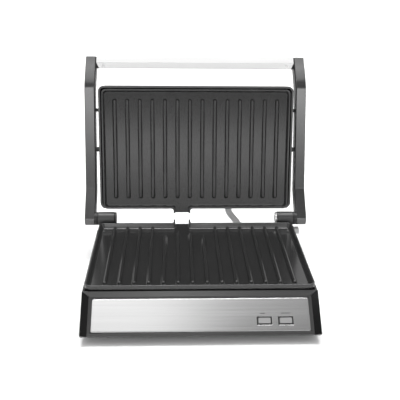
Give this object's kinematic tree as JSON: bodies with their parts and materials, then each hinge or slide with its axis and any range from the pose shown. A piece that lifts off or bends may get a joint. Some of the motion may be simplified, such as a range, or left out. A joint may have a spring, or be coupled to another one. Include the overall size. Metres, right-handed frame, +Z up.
{
  "type": "panini press",
  "caption": "Open contact grill: sloped base with ribbed plate, floating ribbed lid on two bent arms joined by a bar handle, push keys, rear drip tray.",
  "frame": {"origin": "on the table under the middle of the open press's bounding box", "axes": "+X to the right seen from the front, +Y from the front fascia towards the hinge, +Z up"},
  "size_m": [0.2822, 0.3036, 0.2402],
  "materials": {
    "cast_nonstick": "satin dark non-stick coat",
    "black_gloss": "glossy",
    "brushed_steel": "brushed across",
    "dark_plastic": "matte",
    "arm_plastic": "satin",
    "black_rubber": "matte",
    "screw_steel": "bright",
    "element_steel": "heat stained",
    "sheet_steel": "mill",
    "handle_aluminium": "satin anodised",
    "key_plastic": "satin",
    "grey_plastic": "matte",
    "board": "board",
    "grey_lead": "silicone"
  },
  "bodies": {
    "base": {"base_tub": "dark_plastic", "bottom_cover": "dark_plastic", "fascia_frame": "black_gloss", "fascia_panel": "brushed_steel", "left_side_cover": "black_gloss", "right_side_cover": "black_gloss", "lower_grill_plate": "cast_nonstick", "lower_heating_element": "element_steel", "lower_reflector": "sheet_steel", "lower_plate_screws": "screw_steel", "thermostat": "sheet_steel", "lower_thermal_fuse": "grey_plastic", "terminal_block": "grey_plastic", "key_board": "board", "key_domes": "black_rubber", "key_bezels": "black_rubber", "rubber_feet": "black_rubber", "bottom_screws": "screw_steel", "left_hinge_block": "dark_plastic", "right_hinge_block": "dark_plastic", "hinge_block_screws": "screw_steel", "power_cord_gland": "black_rubber", "base_lead_gland": "black_rubber", "lid_lead": "grey_lead", "release_spring": "screw_steel"},
    "left_key_body": {"left_key": "key_plastic"},
    "right_key_body": {"right_key": "key_plastic"},
    "drip_tray_body": {"drip_tray": "dark_plastic"},
    "release_slider_body": {"release_slider": "grey_plastic"},
    "arms": {"left_arm": "arm_plastic", "right_arm": "arm_plastic", "left_arm_liner": "black_rubber", "right_arm_liner": "black_rubber", "left_hinge_shaft": "screw_steel", "right_hinge_shaft": "screw_steel", "hinge_shaft_cap": "black_rubber", "hinge_shaft_nut": "screw_steel", "hinge_caps": "black_rubber", "pivot_pins": "screw_steel", "stop_pins": "screw_steel", "handle_bar": "handle_aluminium", "handle_end_seats": "black_rubber", "handle_screws": "screw_steel"},
    "lid": {"lid_shell": "dark_plastic", "lid_top_panel": "brushed_steel", "upper_grill_plate": "cast_nonstick", "upper_heating_element": "element_steel", "upper_reflector": "sheet_steel", "upper_plate_screws": "screw_steel", "upper_thermal_fuse": "grey_plastic", "lid_screws": "screw_steel", "pivot_bushes": "black_rubber", "lid_lead_boot": "black_rubber"}
  },
  "joints": [
    {"name": "arm_hinge", "type": "hinge", "parent": "base", "child": "arms", "pos_m": [0, 0.05104, 0.0508], "axis": [1, 0, 0], "range_deg": [-74.3, 102.2], "deforming": ["lid_lead"]},
    {"name": "lid_float", "type": "hinge", "parent": "arms", "child": "lid", "pos_m": [0, 0.09247, 0.12983], "axis": [1, 0, 0], "range_deg": [-2.5, 2.5]},
    {"name": "left_key_press", "type": "slide", "parent": "base", "child": "left_key_body", "axis": [0, 0.6613, -0.7501], "range_m": [0, 0.0012], "stiffness_N_per_m": 800, "springref_m": -0.0005},
    {"name": "right_key_press", "type": "slide", "parent": "base", "child": "right_key_body", "axis": [0, 0.6613, -0.7501], "range_m": [0, 0.0012], "stiffness_N_per_m": 800, "springref_m": -0.0005},
    {"name": "drip_tray_slide", "type": "slide", "parent": "base", "child": "drip_tray_body", "axis": [0, 1, 0], "range_m": [0, 0.035]},
    {"name": "release_slide", "type": "slide", "parent": "base", "child": "release_slider_body", "axis": [0, 1, 0], "range_m": [0, 0.004], "stiffness_N_per_m": 300, "springref_m": -0.002, "deforming": ["release_spring"]}
  ]
}
